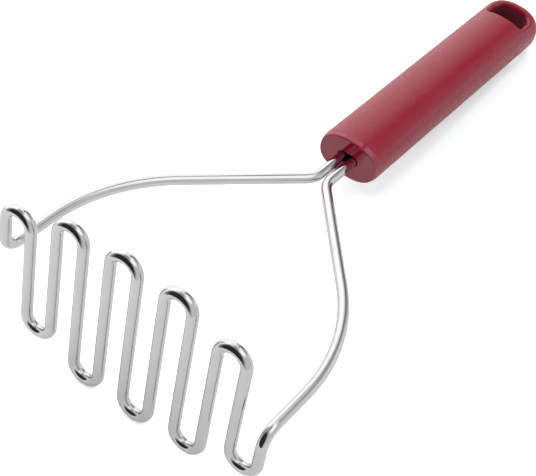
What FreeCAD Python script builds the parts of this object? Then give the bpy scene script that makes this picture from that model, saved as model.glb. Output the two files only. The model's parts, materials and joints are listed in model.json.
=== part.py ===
import FreeCAD, Part
import math
import os

# Potato masher: one bent steel rod with a zigzag head, its two ends clamped inside a hollow grip.
# All sizes are in millimetres.
# While it is modelled, X runs along the zigzag, Y from the head to the grip, and Z is square to
# the flat of the grip. At the end the masher is laid on the floor, with Z up.

# Rod and zigzag head
rod_diameter = 4.0
leg_pitch = 10.4              # from one leg of the zigzag to the next
head_depth = 65.8             # over the two middle bends
shoulder_drop = 1.1           # the bends beside the middle ones stay back by this much
corner_drop = 8.3             # the outermost bends stay back by this much
arm_height = 3.5              # how far off the middle an end leg turns into its arm
arm_turn_radius = 6.0         # from an end leg into its arm

# Arms, neck and tangs
arm_corner = 49.0             # from the head to the corner of an arm
arm_corner_radius = 73.5
neck_corner = 108.0           # from the head to the corner where an arm meets the neck
neck_radius = 10.0
neck_length = 18.5            # from that corner to the front face of the grip
tang_gap = 0.5                # between the two tangs
groove_depth = 0.5            # locking grooves round each tang
groove_width = 4.0

# Grip
grip_length = 141.6
front_width = 25.5
front_thickness = 17.0
rear_width = 25.8
rear_thickness = 18.8
oval_fullness = 2.4           # 2 is an ellipse, more is fuller
end_rounding = 9.2            # length over which the far end narrows
end_fullness = 2.5            # of the far end seen from above
end_thickness_fullness = 3.0  # of the far end seen from the side
wall = 2.4
core_stop = 1.5               # ledge in the cavity behind the core

# Hang hole
hole_width = 15.0
hole_length = 10.8
hole_margin = 7.2             # from the hole to the far end
hole_bow = 1.2                # the far edge is bowed outwards by this much
hole_near_corner = 2.0
hole_far_corner = 4.0
hole_draft = 0.5              # the hole widens by this much from the middle to each side
hole_rim = 1.5                # rounding of the hole's rim

# Front cap and core
band_length = 2.4             # part of the cap that shows round the grip
band_taper = 0.55             # the band narrows towards the front face by this much all round
face_edge = 0.6               # rounding between the band and the front face
seam_edge = 0.12              # chamfers that make the seam
spigot_length = 8.0
core_length = 34.0
core_end_wall = 2.0

# Clearances
slot_clearance = 0.3          # round the tangs in the cap's slot
rod_clearance = 0.1           # round the tangs in the core
fit_clearance = 0.15          # cap and core in the grip's cavity

# Values that follow
rod_radius = rod_diameter / 2
bend_radius = leg_pitch / 2
middle_reach = head_depth / 2 - rod_radius
shoulder_reach = middle_reach - shoulder_drop
corner_reach = middle_reach - corner_drop
bend_reaches = (corner_reach, shoulder_reach, middle_reach, shoulder_reach, corner_reach)
half_width = leg_pitch * len(bend_reaches)
head_turn = math.degrees(math.atan2(arm_height, half_width))
tang_offset = (rod_diameter + tang_gap) / 2
face = neck_corner + neck_length
spigot_end = band_length + spigot_length
core_end = spigot_end + core_length
tang_depth = core_end - core_end_wall
straight_end = grip_length - end_rounding
hole_far = grip_length - hole_margin
hole_near = hole_far - hole_length


def line(start, end):
    return Part.LineSegment(start, end).toShape()


def rounded_path(corners):
    """Wire along the corners, each given with the radius that rounds it."""
    edges = []
    last = corners[0][0]
    for before, here, after in zip(corners, corners[1:], corners[2:]):
        corner, radius = here
        back = (before[0] - corner).normalize()
        ahead = (after[0] - corner).normalize()
        half_angle = back.getAngle(ahead) / 2
        reach = radius / math.tan(half_angle)
        start = corner + back * reach
        end = corner + ahead * reach
        inward = (back + ahead).normalize()
        middle = corner + inward * (radius / math.sin(half_angle) - radius)
        if (start - last).Length > 0.001:
            edges.append(line(last, start))
        edges.append(Part.Arc(start, middle, end).toShape())
        last = end
    edges.append(line(last, corners[-1][0]))
    return Part.Wire(edges)


def head_corners():
    """Corners of the zigzag from the left arm to the right arm, turned to suit the arms."""
    turn = FreeCAD.Rotation(FreeCAD.Vector(0, 1, 0), -head_turn)
    flat = [(-half_width, arm_height, arm_turn_radius)]
    for number, reach in enumerate(bend_reaches):
        left = leg_pitch * 2 * number - half_width
        middle = left + leg_pitch
        right = middle + leg_pitch
        flat.append((left, reach, bend_radius))
        flat.append((middle, reach, bend_radius))
        flat.append((middle, -reach, bend_radius))
        flat.append((right, -reach, bend_radius))
    flat.append((half_width, -arm_height, arm_turn_radius))
    return [(turn.multVec(FreeCAD.Vector(x, 0, z)), radius) for x, z, radius in flat]


def arm_corners(side, arm_across):
    """Corners of one arm from the end of its tang to its head end."""
    return [
        (FreeCAD.Vector(side * tang_offset, face + tang_depth, 0), 0),
        (FreeCAD.Vector(side * tang_offset, neck_corner, 0), neck_radius),
        (FreeCAD.Vector(side * arm_across, arm_corner, 0), arm_corner_radius),
    ]


def cylinder(x, start, length, radius):
    """Cylinder along the grip, start measured from the front face."""
    base = FreeCAD.Vector(x, face + start, 0)
    return Part.makeCylinder(radius, length, base, FreeCAD.Vector(0, 1, 0))


def groove_rings(clearance):
    """Rings that are missing from the tangs, or with a clearance the core's ribs in them."""
    rings = []
    width = groove_width - 2 * clearance
    outer = rod_radius + tang_gap / 2
    inner = rod_radius - groove_depth + clearance
    bore = tang_depth - spigot_end
    for side in (-1, 1):
        for share in (1 / 3, 2 / 3):
            start = spigot_end + bore * share - width / 2
            disc = cylinder(side * tang_offset, start, width, outer)
            rings.append(disc.cut(cylinder(side * tang_offset, start, width, inner)))
    return rings


def make_rod():
    head = head_corners()
    arm_across = half_width / math.cos(math.radians(head_turn))
    path = arm_corners(-1, arm_across) + head + arm_corners(1, arm_across)[::-1]
    spine = rounded_path(path)
    section = Part.Circle(path[0][0], FreeCAD.Vector(0, 1, 0), rod_radius).toShape()
    rod = spine.makePipeShell([Part.Wire([section])], True, False)
    return rod.cut(groove_rings(0))


def oval(width, thickness, along):
    """Closed oval across the grip, along measured from the front face."""
    points = []
    for degrees in range(0, 360, 10):
        across = math.cos(math.radians(degrees))
        up = math.sin(math.radians(degrees))
        x = math.copysign(abs(across) ** (2 / oval_fullness), across) * width / 2
        z = math.copysign(abs(up) ** (2 / oval_fullness), up) * thickness / 2
        points.append(FreeCAD.Vector(x, face + along, z))
    curve = Part.BSplineCurve()
    curve.interpolate(points, PeriodicFlag=True)
    return Part.Wire([curve.toShape()])


def grip_size(along):
    """Width and thickness of the grip, without its rounded end."""
    share = along / grip_length
    width = front_width + (rear_width - front_width) * share
    thickness = front_thickness + (rear_thickness - front_thickness) * share
    return width, thickness


def inset_block(start, start_inset, end, end_inset):
    """Straight length of the grip's form, set in from its surface."""
    wires = []
    for along, inset in ((start, start_inset), (end, end_inset)):
        width, thickness = grip_size(along)
        wires.append(oval(width - 2 * inset, thickness - 2 * inset, along))
    return Part.makeLoft(wires, True, True)


def end_sections():
    """Width, thickness and place of the ovals that round off the far end."""
    sections = []
    for degrees in (0, 10, 20, 30, 40, 50, 60, 68, 75, 80, 84):
        share = math.sin(math.radians(degrees))
        along = straight_end + end_rounding * share
        width, thickness = grip_size(along)
        width *= (1 - share ** end_fullness) ** (1 / end_fullness)
        thickness *= (1 - share ** end_thickness_fullness) ** (1 / end_thickness_fullness)
        sections.append((width, thickness, along))
    return sections


def grip_form():
    """Outside of the grip with its rounded end, without the cap."""
    straight = inset_block(band_length, 0, straight_end, 0)
    end = Part.makeLoft([oval(*section) for section in end_sections()], True, False)
    return straight.fuse(end)


def hole_outline(z, growth):
    """Outline of the hang hole at one height."""
    x = hole_width / 2 + growth
    near = face + hole_near - growth
    far = face + hole_far + growth
    side = far - hole_bow
    left_near = FreeCAD.Vector(-x, near, z)
    left_far = FreeCAD.Vector(-x, side, z)
    right_near = FreeCAD.Vector(x, near, z)
    right_far = FreeCAD.Vector(x, side, z)
    bow = Part.Arc(right_far, FreeCAD.Vector(0, far, z), left_far).toShape()
    return Part.Wire([line(left_near, right_near), line(right_near, right_far), bow, line(left_far, left_near)])


def hole_half(side):
    """Upper or lower half of the hang hole, wider towards the outside, with rounded corners."""
    height = rear_thickness
    growth = hole_draft * 2
    half = Part.makeLoft([hole_outline(0, 0), hole_outline(side * height, growth)], True, True)
    for radius, is_near in ((hole_near_corner, True), (hole_far_corner, False)):
        middle = face + hole_near + hole_length / 2
        corners = []
        for edge in half.Edges:
            tops = [vertex.Point.z for vertex in edge.Vertexes]
            rises = abs(tops[0] - tops[-1]) > height / 2
            if rises and (edge.CenterOfMass.y < middle) == is_near:
                corners.append(edge)
        half = half.makeFillet(radius, corners)
    return half


def hole_rims(shape):
    """Edges where the hang hole meets the outside of the grip."""
    rims = []
    for edge in shape.Edges:
        box = edge.BoundBox
        within = box.YMin > face + hole_near - wall and box.YMax < face + hole_far + wall
        outside = min(abs(box.ZMin), abs(box.ZMax)) > rear_thickness / 4 and box.ZMin * box.ZMax > 0
        level = box.ZLength < rear_thickness / 4
        if within and outside and level:
            rims.append(edge)
    return rims


def end_edges(shape, along):
    """Outermost edge of a piece at one place along the grip."""
    found = []
    for edge in shape.Edges:
        box = edge.BoundBox
        at_place = abs(box.YMin - face - along) < 0.01 and abs(box.YMax - face - along) < 0.01
        if at_place:
            found.append(edge)
    return [max(found, key=lambda edge: edge.BoundBox.XLength)]


def make_grip():
    grip = grip_form()
    grip = grip.cut(hole_half(1))
    grip = grip.cut(hole_half(-1))
    grip = grip.makeFillet(hole_rim, hole_rims(grip))
    grip = grip.makeChamfer(seam_edge, end_edges(grip, band_length))
    cavity = inset_block(band_length, wall, core_end, wall)
    narrow = wall + core_stop
    narrow_cavity = inset_block(core_end, narrow, hole_near - wall, narrow)
    return grip.cut([cavity, narrow_cavity])


def make_cap():
    band = inset_block(0, band_taper, band_length, 0)
    band = band.makeFillet(face_edge, end_edges(band, 0))
    band = band.makeChamfer(seam_edge, end_edges(band, band_length))
    inset = wall + fit_clearance
    spigot = inset_block(band_length, inset, spigot_end, inset)
    slot_radius = rod_radius + slot_clearance
    left = cylinder(-tang_offset, 0, spigot_end, slot_radius)
    right = cylinder(tang_offset, 0, spigot_end, slot_radius)
    corner = FreeCAD.Vector(-tang_offset, face, -slot_radius)
    between = Part.makeBox(2 * tang_offset, spigot_end, 2 * slot_radius, corner)
    slot = left.fuse([right, between]).removeSplitter()
    return band.fuse(spigot).cut(slot)


def make_core_halves():
    inset = wall + fit_clearance
    core = inset_block(spigot_end, inset, core_end, inset)
    length = tang_depth + rod_clearance - spigot_end
    bores = []
    for side in (-1, 1):
        bore = cylinder(side * tang_offset, spigot_end, length, rod_radius + rod_clearance)
        bores.append(bore.cut(groove_rings(rod_clearance)))
    core = core.cut(bores)
    size = max(front_width, rear_width)
    below = Part.makeBox(2 * size, core_length, size, FreeCAD.Vector(-size, face + spigot_end, -size))
    return core.cut(below), core.common(below)


def lying_placement():
    """Turn that lays the masher on two lower bends and on the far end of its grip."""
    lean = math.atan2(shoulder_drop, 2 * leg_pitch)
    roll = math.radians(head_turn) - lean
    bend_centre = (middle_reach - bend_radius) * math.cos(lean) - leg_pitch / 2 * math.sin(lean)
    power = oval_fullness / (oval_fullness - 1)
    tilts = []
    for width, thickness, along in end_sections():
        across = abs(width / 2 * math.sin(roll)) ** power
        up = abs(thickness / 2 * math.cos(roll)) ** power
        rise = bend_centre + bend_radius - (across + up) ** (1 / power)
        distance = math.hypot(face + along, rise)
        tilts.append(math.atan2(rise, face + along) + math.asin(rod_radius / distance))
    rolled = FreeCAD.Rotation(FreeCAD.Vector(0, 1, 0), math.degrees(roll))
    tilted = FreeCAD.Rotation(FreeCAD.Vector(1, 0, 0), -math.degrees(min(tilts)))
    return FreeCAD.Placement(FreeCAD.Vector(0, 0, 0), tilted * rolled)


core_upper, core_lower = make_core_halves()
pieces = {
    "masher_wire": make_rod(),
    "front_cap": make_cap(),
    "core_upper": core_upper,
    "core_lower": core_lower,
    "grip": make_grip(),
}

# Lay the masher down, with the origin on the floor under the middle of it
lying = lying_placement().toMatrix()
laid = {name: shape.Solids[0].transformed(lying, copy=True) for name, shape in pieces.items()}
box = Part.makeCompound(list(laid.values())).optimalBoundingBox(False, False)
to_origin = FreeCAD.Vector(-box.Center.x, -box.Center.y, -box.ZMin)
os.makedirs("parts", exist_ok=True)
for name, shape in laid.items():
    shape.translate(to_origin)
    shape.exportStep("parts/" + name + ".step")
    print(name, len(pieces[name].Solids), shape.isValid(), round(shape.Volume))
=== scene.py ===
import bpy
import json
import math
from mathutils import Matrix, Vector

# Potato masher lying on a white studio floor. Sizes are in metres and angles in degrees.

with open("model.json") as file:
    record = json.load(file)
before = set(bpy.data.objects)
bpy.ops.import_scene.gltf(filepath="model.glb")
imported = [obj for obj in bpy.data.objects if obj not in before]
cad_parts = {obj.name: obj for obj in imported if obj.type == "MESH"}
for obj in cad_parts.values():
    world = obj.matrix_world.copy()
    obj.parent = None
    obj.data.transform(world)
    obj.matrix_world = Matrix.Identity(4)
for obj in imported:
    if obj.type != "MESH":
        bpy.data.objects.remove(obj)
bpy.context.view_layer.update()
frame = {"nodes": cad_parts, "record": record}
bpy.ops.object.select_all(action="DESELECT")

# Colours of the finishes; a pair is the darker and the lighter tone
steel_tones = ((0.645, 0.645, 0.645), (0.675, 0.675, 0.675))
grip_tones = ((0.250, 0.003, 0.019), (0.270, 0.005, 0.024))
# Lighter grip edges: partly rubbed wear, partly a painted highlight on rims and seams
worn_highlit_grip_tone = (0.42, 0.07, 0.09)
# Painted shade on the deep walls of the hang hole
hole_painted_shade_tone = (0.15, 0.013, 0.024)
cap_tones = ((0.258, 0.004, 0.025), (0.278, 0.006, 0.030))
# Lighter cap edges: partly rubbed wear, partly a painted highlight
worn_highlit_cap_tone = (0.38, 0.05, 0.07)
core_tones = ((0.12, 0.07, 0.07), (0.16, 0.09, 0.09))

# Depths of the relief on the finishes
steel_ripple = 0.0000012
steel_scratch = 0.0000003
grip_grain = 0.000006
grip_scratch = 0.000002
cap_swell = 0.000002
cap_scratch = 0.0000005
core_grain = 0.000010

# Places that differ from the rest of their finish
# Reach of the lighter edges, which paint rubbed wear and highlight
grip_wear_highlight_radius = 0.0012
cap_wear_highlight_radius = 0.0006
# Reach of the painted shade in the hang hole
hole_reach = (0.0095, 0.008, 0.0105)     # from the hole's middle to its rims
foot_height = 0.004

# Range in which most of a noise lies, and its middle
noise_range = (0.3, 0.7)
noise_middle = 0.5


# Node helpers

def start_material(name):
    """Empty node material with its output and one Principled shader."""
    material = bpy.data.materials.new(name)
    material.use_nodes = True
    nodes = material.node_tree.nodes
    nodes.clear()
    output = nodes.new("ShaderNodeOutputMaterial")
    shader = nodes.new("ShaderNodeBsdfPrincipled")
    material.node_tree.links.new(shader.outputs["BSDF"], output.inputs["Surface"])
    return material, shader


def own_place(material):
    """Place on the piece, in its own coordinates."""
    return material.node_tree.nodes.new("ShaderNodeTexCoord").outputs["Object"]


def coordinate(material, axis):
    """Place on the piece along one axis."""
    split = material.node_tree.nodes.new("ShaderNodeSeparateXYZ")
    material.node_tree.links.new(own_place(material), split.inputs["Vector"])
    return split.outputs[axis]


def distance(material, middle, reach):
    """Distance from a middle, where 1 is the reach along X, Y and Z."""
    nodes = material.node_tree.nodes
    links = material.node_tree.links
    mapping = nodes.new("ShaderNodeMapping")
    mapping.vector_type = "TEXTURE"
    mapping.inputs["Location"].default_value = middle
    mapping.inputs["Scale"].default_value = reach
    length = nodes.new("ShaderNodeVectorMath")
    length.operation = "LENGTH"
    links.new(own_place(material), mapping.inputs["Vector"])
    links.new(mapping.outputs["Vector"], length.inputs[0])
    return length.outputs["Value"]


def add_noise(material, scale, detail, stretch=(1, 1, 1)):
    """Noise on the piece's own coordinates, scale in lumps per metre."""
    nodes = material.node_tree.nodes
    links = material.node_tree.links
    mapping = nodes.new("ShaderNodeMapping")
    mapping.inputs["Scale"].default_value = stretch
    noise = nodes.new("ShaderNodeTexNoise")
    noise.inputs["Scale"].default_value = scale
    noise.inputs["Detail"].default_value = detail
    links.new(own_place(material), mapping.inputs["Vector"])
    links.new(mapping.outputs["Vector"], noise.inputs["Vector"])
    return noise.outputs["Fac"]


def spread(material, value, start, end, low, high):
    """Maps a value from its start and end to a low and a high value."""
    reach = material.node_tree.nodes.new("ShaderNodeMapRange")
    reach.inputs["From Min"].default_value = start
    reach.inputs["From Max"].default_value = end
    reach.inputs["To Min"].default_value = low
    reach.inputs["To Max"].default_value = high
    material.node_tree.links.new(value, reach.inputs["Value"])
    return reach.outputs["Result"]


def uneven(material, scale, detail, low=0, high=1):
    """Value that drifts between low and high from place to place."""
    return spread(material, add_noise(material, scale, detail), *noise_range, low, high)


def up_to(material, value, most):
    """Value from 0 to 1, turned into one from 0 to its most."""
    return spread(material, value, 0, 1, 0, most)


def combine(material, operation, one, other):
    """Sum or product of two values."""
    sum_or_product = material.node_tree.nodes.new("ShaderNodeMath")
    sum_or_product.operation = operation
    material.node_tree.links.new(one, sum_or_product.inputs[0])
    material.node_tree.links.new(other, sum_or_product.inputs[1])
    return sum_or_product.outputs["Value"]


def mix_tones(material, share, tones):
    """Colour between two tones; each is a colour or the outcome of another mix."""
    mix = material.node_tree.nodes.new("ShaderNodeMix")
    mix.data_type = "RGBA"
    material.node_tree.links.new(share, mix.inputs["Factor"])
    sockets = [socket for socket in mix.inputs if socket.type == "RGBA"]
    for socket, tone in zip(sockets, tones):
        if isinstance(tone, tuple):
            socket.default_value = (*tone, 1)
        else:
            material.node_tree.links.new(tone, socket)
    return next(socket for socket in mix.outputs if socket.type == "RGBA")


def hairlines(material, scale, stretch, width):
    """Thin broken lines, 1 on a line and 0 beside it."""
    break_start = 0.5
    break_end = 0.6
    lines = add_noise(material, scale, detail=2, stretch=stretch)
    near = material.node_tree.nodes.new("ShaderNodeMath")
    near.operation = "COMPARE"
    near.inputs[1].default_value = noise_middle
    near.inputs[2].default_value = width
    material.node_tree.links.new(lines, near.inputs[0])
    breaks = add_noise(material, scale=140, detail=3)
    shown = spread(material, breaks, break_start, break_end, 0, 1)
    return combine(material, "MULTIPLY", near.outputs["Value"], shown)


def wear_and_highlight_edges(material, radius):
    """1 along the edges and 0 on flat and wide curved faces, uneven as from handling. The lighter tone
    given there is rubbed wear and also a painted highlight.
    """
    flat_likeness = 0.995
    edge_likeness = 0.93
    least_wear = 0.35
    rubbing_range = (0.35, 0.65)
    nodes = material.node_tree.nodes
    links = material.node_tree.links
    softened = nodes.new("ShaderNodeBevel")
    softened.samples = 6
    softened.inputs["Radius"].default_value = radius
    surface = nodes.new("ShaderNodeNewGeometry")
    likeness = nodes.new("ShaderNodeVectorMath")
    likeness.operation = "DOT_PRODUCT"
    links.new(softened.outputs["Normal"], likeness.inputs[0])
    links.new(surface.outputs["Normal"], likeness.inputs[1])
    edges = spread(material, likeness.outputs["Value"], flat_likeness, edge_likeness, 0, 1)
    rubbing = add_noise(material, scale=260, detail=4)
    return combine(material, "MULTIPLY", edges, spread(material, rubbing, *rubbing_range, least_wear, 1))


def painted_shade_hole_walls(material):
    """1 on the walls deep in the hang hole, which get a painted shade, and 0 at its rims and outside."""
    rim_start = 1.02
    rim_end = 1.12
    hole = next(mount for mount in frame["record"]["mounts"] if mount["name"] == "hang_hole")
    return spread(material, distance(material, hole["pos_m"], hole_reach), rim_end, rim_start, 0, 1)


def add_bump(material, shader, heights):
    """Raises the surface by each height, given with its depth."""
    normal = None
    for height, depth in heights:
        bump = material.node_tree.nodes.new("ShaderNodeBump")
        bump.inputs["Strength"].default_value = 1.0
        bump.inputs["Distance"].default_value = depth
        material.node_tree.links.new(height, bump.inputs["Height"])
        if normal:
            material.node_tree.links.new(normal, bump.inputs["Normal"])
        normal = bump.outputs["Normal"]
    material.node_tree.links.new(normal, shader.inputs["Normal"])


def finish_material(material, shader, colour, roughnesses):
    """Gives the shader its colour and the sum of its roughnesses."""
    roughness = roughnesses[0]
    for more in roughnesses[1:]:
        roughness = combine(material, "ADD", roughness, more)
    material.node_tree.links.new(colour, shader.inputs["Base Color"])
    material.node_tree.links.new(roughness, shader.inputs["Roughness"])
    return material


# Finishes

def polished_steel():
    """Bright drawn wire with faint smudges and scuffs, duller at the feet that meet the pan."""
    smudge_start = 0.55
    smudge_end = 0.75
    material, shader = start_material("polished_steel")
    shader.inputs["Metallic"].default_value = 1.0
    colour = mix_tones(material, uneven(material, scale=60, detail=3), steel_tones)
    polish = uneven(material, scale=2500, detail=4, low=0.045, high=0.09)
    smears = add_noise(material, scale=180, detail=4)
    smudges = spread(material, smears, smudge_start, smudge_end, low=0, high=0.04)
    scuffs = hairlines(material, scale=320, stretch=(1, 1, 0.12), width=0.012)
    foot = spread(material, coordinate(material, "Z"), foot_height, 0, low=0, high=0.08)
    ripple = add_noise(material, scale=700, detail=2)
    add_bump(material, shader, ((ripple, steel_ripple), (scuffs, -steel_scratch)))
    dull_scuffs = up_to(material, scuffs, 0.06)
    return finish_material(material, shader, colour, (polish, smudges, dull_scuffs, foot))


def satin_grip():
    """Moulded grip with a fine satin grain, faint lengthwise scuffs, edges lightened as rubbed wear and as
    a painted highlight, and painted shade deep in the hang hole.
    """
    material, shader = start_material("satin_grip")
    colour = mix_tones(material, uneven(material, scale=90, detail=4), grip_tones)
    edge_wear_and_highlight = wear_and_highlight_edges(material, grip_wear_highlight_radius)
    # Lighter edges: rubbed wear and a painted highlight
    colour = mix_tones(material, up_to(material, edge_wear_and_highlight, 0.7), (colour, worn_highlit_grip_tone))
    # Painted shade: a darker tone on the walls deep in the hang hole
    hole = painted_shade_hole_walls(material)
    colour = mix_tones(material, hole, (colour, hole_painted_shade_tone))
    satin = uneven(material, scale=220, detail=5, low=0.25, high=0.31)
    scuffs = hairlines(material, scale=300, stretch=(1, 0.06, 1), width=0.010)
    grain = add_noise(material, scale=2800, detail=3)
    add_bump(material, shader, ((grain, grip_grain), (scuffs, -grip_scratch)))
    dull_scuffs = up_to(material, scuffs, 0.10)
    shiny_edges = up_to(material, edge_wear_and_highlight, -0.06)
    dull_hole = up_to(material, hole, 0.35)
    return finish_material(material, shader, colour, (satin, dull_scuffs, shiny_edges, dull_hole))


def glossy_cap():
    """Smooth shiny end piece with light scuffs on its face, and edges lightened as rubbed wear and as a
    painted highlight.
    """
    material, shader = start_material("glossy_cap")
    shader.inputs["Specular IOR Level"].default_value = 0.9
    colour = mix_tones(material, uneven(material, scale=90, detail=4), cap_tones)
    edge_wear_and_highlight = wear_and_highlight_edges(material, cap_wear_highlight_radius)
    # Lighter edges: rubbed wear and a painted highlight
    colour = mix_tones(material, up_to(material, edge_wear_and_highlight, 0.5), (colour, worn_highlit_cap_tone))
    gloss = uneven(material, scale=300, detail=4, low=0.04, high=0.08)
    scuffs = hairlines(material, scale=380, stretch=(0.15, 1, 1), width=0.010)
    swell = add_noise(material, scale=400, detail=2)
    add_bump(material, shader, ((swell, cap_swell), (scuffs, -cap_scratch)))
    return finish_material(material, shader, colour, (gloss, up_to(material, scuffs, 0.10)))


def dull_core():
    """Dark moulded clamp halves with a matt grain."""
    material, shader = start_material("dull_core")
    colour = mix_tones(material, uneven(material, scale=150, detail=4), core_tones)
    grain = add_noise(material, scale=3000, detail=3)
    matt = spread(material, grain, *noise_range, low=0.5, high=0.65)
    add_bump(material, shader, ((grain, core_grain),))
    return finish_material(material, shader, colour, (matt,))


def dress(node_name, material):
    """Gives a node its finish."""
    frame["nodes"][node_name].material_slots[0].material = material


dress("masher_wire", polished_steel())
dress("grip", satin_grip())
dress("front_cap", glossy_cap())
core_finish = dull_core()
dress("core_upper", core_finish)
dress("core_lower", core_finish)


# Studio

floor_size = 6
floor_front = -0.235                     # the floor's near edge, along Y
floor_drop = 0.00005                     # from the object's feet down to the floor
floor_bounce = (0.67, 0.67, 0.67)        # the floor's tone to the object
floor_paint = (0.95, 0.95, 0.95)         # the floor's tone to the eye
floor_paint_by_grip = (0.86, 0.95, 0.945)
grip_side = (-0.05, 0.0)                 # stretch along Y in which the paint turns cool
near_glow = 0.33
far_glow = 1.0
glow_rise = (0.25, 0.7)                  # distances from the object between which the glow rises
room_level = 0.70
lamp_distance = 1.2


def white_floor():
    """White floor. To the eye part of its white is a glow, which keeps its shadows light and its far
    parts white. Beside the grip its paint is a little cool, against the red that the grip throws on it."""
    middle = (0, floor_front + floor_size / 2, -floor_drop)
    bpy.ops.mesh.primitive_plane_add(size=floor_size, location=middle)
    bpy.ops.object.transform_apply(location=True, rotation=True, scale=True)
    floor = bpy.context.object
    floor.name = "studio_floor"
    material = bpy.data.materials.new("white_floor")
    material.use_nodes = True
    nodes = material.node_tree.nodes
    links = material.node_tree.links
    nodes.clear()
    output = nodes.new("ShaderNodeOutputMaterial")
    seen = nodes.new("ShaderNodeLightPath").outputs["Is Camera Ray"]
    beside_grip = spread(material, coordinate(material, "Y"), *grip_side, 0, 1)
    tone = mix_tones(material, beside_grip, (floor_paint, floor_paint_by_grip))
    tone = mix_tones(material, seen, (floor_bounce, tone))
    away = distance(material, middle=(0, 0, 0), reach=(1, 1, 1))
    strength = combine(material, "MULTIPLY", seen, spread(material, away, *glow_rise, near_glow, far_glow))
    paint = nodes.new("ShaderNodeBsdfDiffuse")
    glow = nodes.new("ShaderNodeEmission")
    both = nodes.new("ShaderNodeAddShader")
    links.new(tone, paint.inputs["Color"])
    links.new(strength, glow.inputs["Strength"])
    links.new(paint.outputs["BSDF"], both.inputs[0])
    links.new(glow.outputs["Emission"], both.inputs[1])
    links.new(both.outputs["Shader"], output.inputs["Surface"])
    floor.data.materials.append(material)
    return floor


def towards(azimuth, elevation):
    """Direction with azimuth counted from X towards Y."""
    a = math.radians(azimuth)
    e = math.radians(elevation)
    return (math.cos(a) * math.cos(e), math.sin(a) * math.cos(e), math.sin(e))


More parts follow.
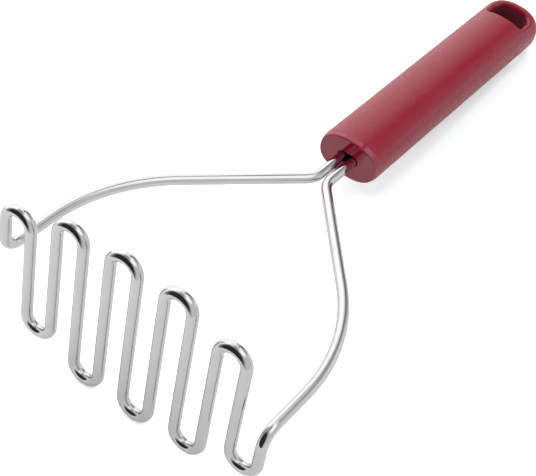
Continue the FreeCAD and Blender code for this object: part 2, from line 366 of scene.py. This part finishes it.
def studio_room():
    """Pale room with a bright ceiling and left wall, and an unlit side behind the camera."""
    world = bpy.data.worlds.new("studio_room")
    bpy.context.scene.world = world
    world.use_nodes = True
    nodes = world.node_tree.nodes
    links = world.node_tree.links
    nodes.clear()
    direction = nodes.new("ShaderNodeTexCoord").outputs["Generated"]
    split = nodes.new("ShaderNodeSeparateXYZ")
    links.new(direction, split.inputs["Vector"])
    height = split.outputs["Z"]
    turn = nodes.new("ShaderNodeMath")
    turn.operation = "ARCTAN2"
    links.new(split.outputs["Y"], turn.inputs[0])
    links.new(split.outputs["X"], turn.inputs[1])
    bearing = turn.outputs["Value"]

    def along(axis):
        """Cosine of the angle to an axis."""
        dot = nodes.new("ShaderNodeVectorMath")
        dot.operation = "DOT_PRODUCT"
        dot.inputs[1].default_value = axis
        links.new(direction, dot.inputs[0])
        return dot.outputs["Value"]

    def lobe(azimuth, elevation, inner, outer):
        """1 inside an inner angle round a direction, 0 outside an outer one."""
        edge = nodes.new("ShaderNodeMapRange")
        edge.interpolation_type = "SMOOTHSTEP"
        edge.inputs["From Min"].default_value = math.cos(math.radians(outer))
        edge.inputs["From Max"].default_value = math.cos(math.radians(inner))
        links.new(along(towards(azimuth, elevation)), edge.inputs["Value"])
        return edge.outputs["Result"]

    def within(value, middle, half_width):
        """1 where a value lies within half a width of its middle, else 0."""
        near = nodes.new("ShaderNodeMath")
        near.operation = "COMPARE"
        near.inputs[1].default_value = middle
        near.inputs[2].default_value = half_width
        links.new(value, near.inputs[0])
        return near.outputs["Value"]

    def ramp(value, start, end):
        """0 at the start value, 1 at the end value and beyond it."""
        rise = nodes.new("ShaderNodeMapRange")
        rise.inputs["From Min"].default_value = start
        rise.inputs["From Max"].default_value = end
        links.new(value, rise.inputs["Value"])
        return rise.outputs["Result"]

    def both(one, other):
        """Product of two shares."""
        product = nodes.new("ShaderNodeMath")
        product.operation = "MULTIPLY"
        links.new(one, product.inputs[0])
        links.new(other, product.inputs[1])
        return product.outputs["Value"]

    def blend(share, low, high):
        """Value between low and high; each is a number or a socket."""
        mix = nodes.new("ShaderNodeMix")
        mix.data_type = "FLOAT"
        links.new(share, mix.inputs["Factor"])
        for name, value in (("A", low), ("B", high)):
            if isinstance(value, (int, float)):
                mix.inputs[name].default_value = value
            else:
                links.new(value, mix.inputs[name])
        return mix.outputs["Result"]

    def upright_gap(azimuth, left, right, top):
        """1 at an azimuth, 0 at its left and right reach and above its top."""
        softness = 2
        middle = math.radians(azimuth)
        from_left = ramp(bearing, middle + math.radians(left), middle)
        from_right = ramp(bearing, middle - math.radians(right), middle)
        top_end = math.sin(math.radians(top + softness))
        top_start = math.sin(math.radians(top - softness))
        return both(both(from_left, from_right), ramp(height, top_end, top_start))

    def slanting_gap(start, end, half_width):
        """1 on a thin line between two directions, each an azimuth and an elevation, else 0."""
        fade = 1.4
        first = Vector(towards(*start))
        last = Vector(towards(*end))
        line = within(along(first.cross(last).normalized()), 0, math.sin(math.radians(half_width)))
        middle = (first + last).normalized()
        reach = first.angle(last) / 2
        return both(line, ramp(along(middle), math.cos(reach * fade), math.cos(reach)))

    patches = (
        # Bright ceiling above the right side
        (lobe(azimuth=5, elevation=70, inner=16, outer=34), 1.40),
        # Upper left wall
        (lobe(azimuth=158, elevation=55, inner=12, outer=28), 1.15),
        # Two bright patches on the ceiling at the back
        (lobe(azimuth=118, elevation=50, inner=6, outer=12), 1.25),
        (lobe(azimuth=84, elevation=61, inner=8, outer=17), 1.2),
        # Dim patch at the back on the right, with a bright one under it
        (lobe(azimuth=58, elevation=36, inner=5, outer=18), 0.48),
        (lobe(azimuth=55, elevation=4, inner=9, outer=20), 1.05),
        # Dim ceiling at the front on the left
        (lobe(azimuth=-140, elevation=76, inner=8, outer=26), 0.4),
        # Dark gap in the back wall, and a narrow one between the two bright patches
        (upright_gap(azimuth=91, left=12, right=20, top=44), 0.12),
        (slanting_gap(start=(99, 49), end=(90, 63), half_width=4), 0.2),
        # Unlit side behind the camera
        (lobe(azimuth=-106, elevation=16, inner=31, outer=58), 0.03),
    )
    level = room_level
    for share, brightness in patches:
        level = blend(share, level, brightness)
    seen = nodes.new("ShaderNodeLightPath").outputs["Is Camera Ray"]
    background = nodes.new("ShaderNodeBackground")
    background.inputs["Color"].default_value = (1, 1, 1, 1)
    output = nodes.new("ShaderNodeOutputWorld")
    links.new(blend(seen, level, 1.0), background.inputs["Strength"])
    links.new(background.outputs["Background"], output.inputs["Surface"])


def add_lamp(name, place, aim, width, height, energy):
    """Rectangular lamp that shines from a place along its aim."""
    light = bpy.data.lights.new(name, "AREA")
    light.shape = "RECTANGLE"
    light.size = width
    light.size_y = height
    light.energy = energy
    lamp = bpy.data.objects.new(name, light)
    bpy.context.scene.collection.objects.link(lamp)
    lamp.location = place
    lamp.rotation_mode = "QUATERNION"
    lamp.rotation_quaternion = Vector(aim).to_track_quat("-Z", "Y")
    lamp.visible_camera = False
    return lamp


def soft_lamp(name, azimuth, elevation, width, energy):
    """Square lamp aimed at the object from a distance, which mirrors don't show."""
    place = Vector(towards(azimuth, elevation)) * lamp_distance
    lamp = add_lamp(name, place, -place, width, width, energy)
    lamp.visible_glossy = False
    return lamp


def studio_lamps(floor):
    """Four soft lamps for the object, one for the floor alone, and a lit panel on the left."""
    soft_lamp("key_lamp", azimuth=160, elevation=42, width=0.9, energy=6)
    soft_lamp("top_lamp", azimuth=200, elevation=78, width=0.5, energy=1.2)
    soft_lamp("side_lamp", azimuth=0, elevation=8, width=0.9, energy=1.5)
    soft_lamp("front_lamp", azimuth=-95, elevation=14, width=0.6, energy=2.6)
    floor_lamp = soft_lamp("floor_lamp", azimuth=-85, elevation=56, width=0.2, energy=2.8)
    floor_alone = bpy.data.collections.new("floor_alone")
    floor_alone.objects.link(floor)
    floor_lamp.light_linking.receiver_collection = floor_alone
    panel_place = (-0.325, 0.22, 0.25)
    panel_aim = (0.968, -0.252, 0)
    add_lamp("left_panel", panel_place, panel_aim, width=0.99, height=0.5, energy=1.12)


def studio_camera():
    """Camera at the photograph's viewing angle."""
    right = Vector((0.798752, 0.583259, 0.147663))
    up = Vector((-0.516562, 0.538969, 0.665339))
    back = Vector((0.308480, -0.607718, 0.731792))
    place = Vector((0.145079, -0.340342, 0.361194))
    data = bpy.data.cameras.new("studio_camera")
    data.lens = 90.02
    data.sensor_width = 36
    data.sensor_fit = "HORIZONTAL"
    data.clip_start = 0.01
    camera = bpy.data.objects.new("studio_camera", data)
    bpy.context.scene.collection.objects.link(camera)
    turn = Matrix((right, up, back)).transposed().to_4x4()
    camera.matrix_world = Matrix.Translation(place) @ turn
    bpy.context.scene.camera = camera


studio_floor = white_floor()
studio_room()
studio_lamps(studio_floor)
studio_camera()
bpy.context.scene.view_settings.view_transform = "Standard"
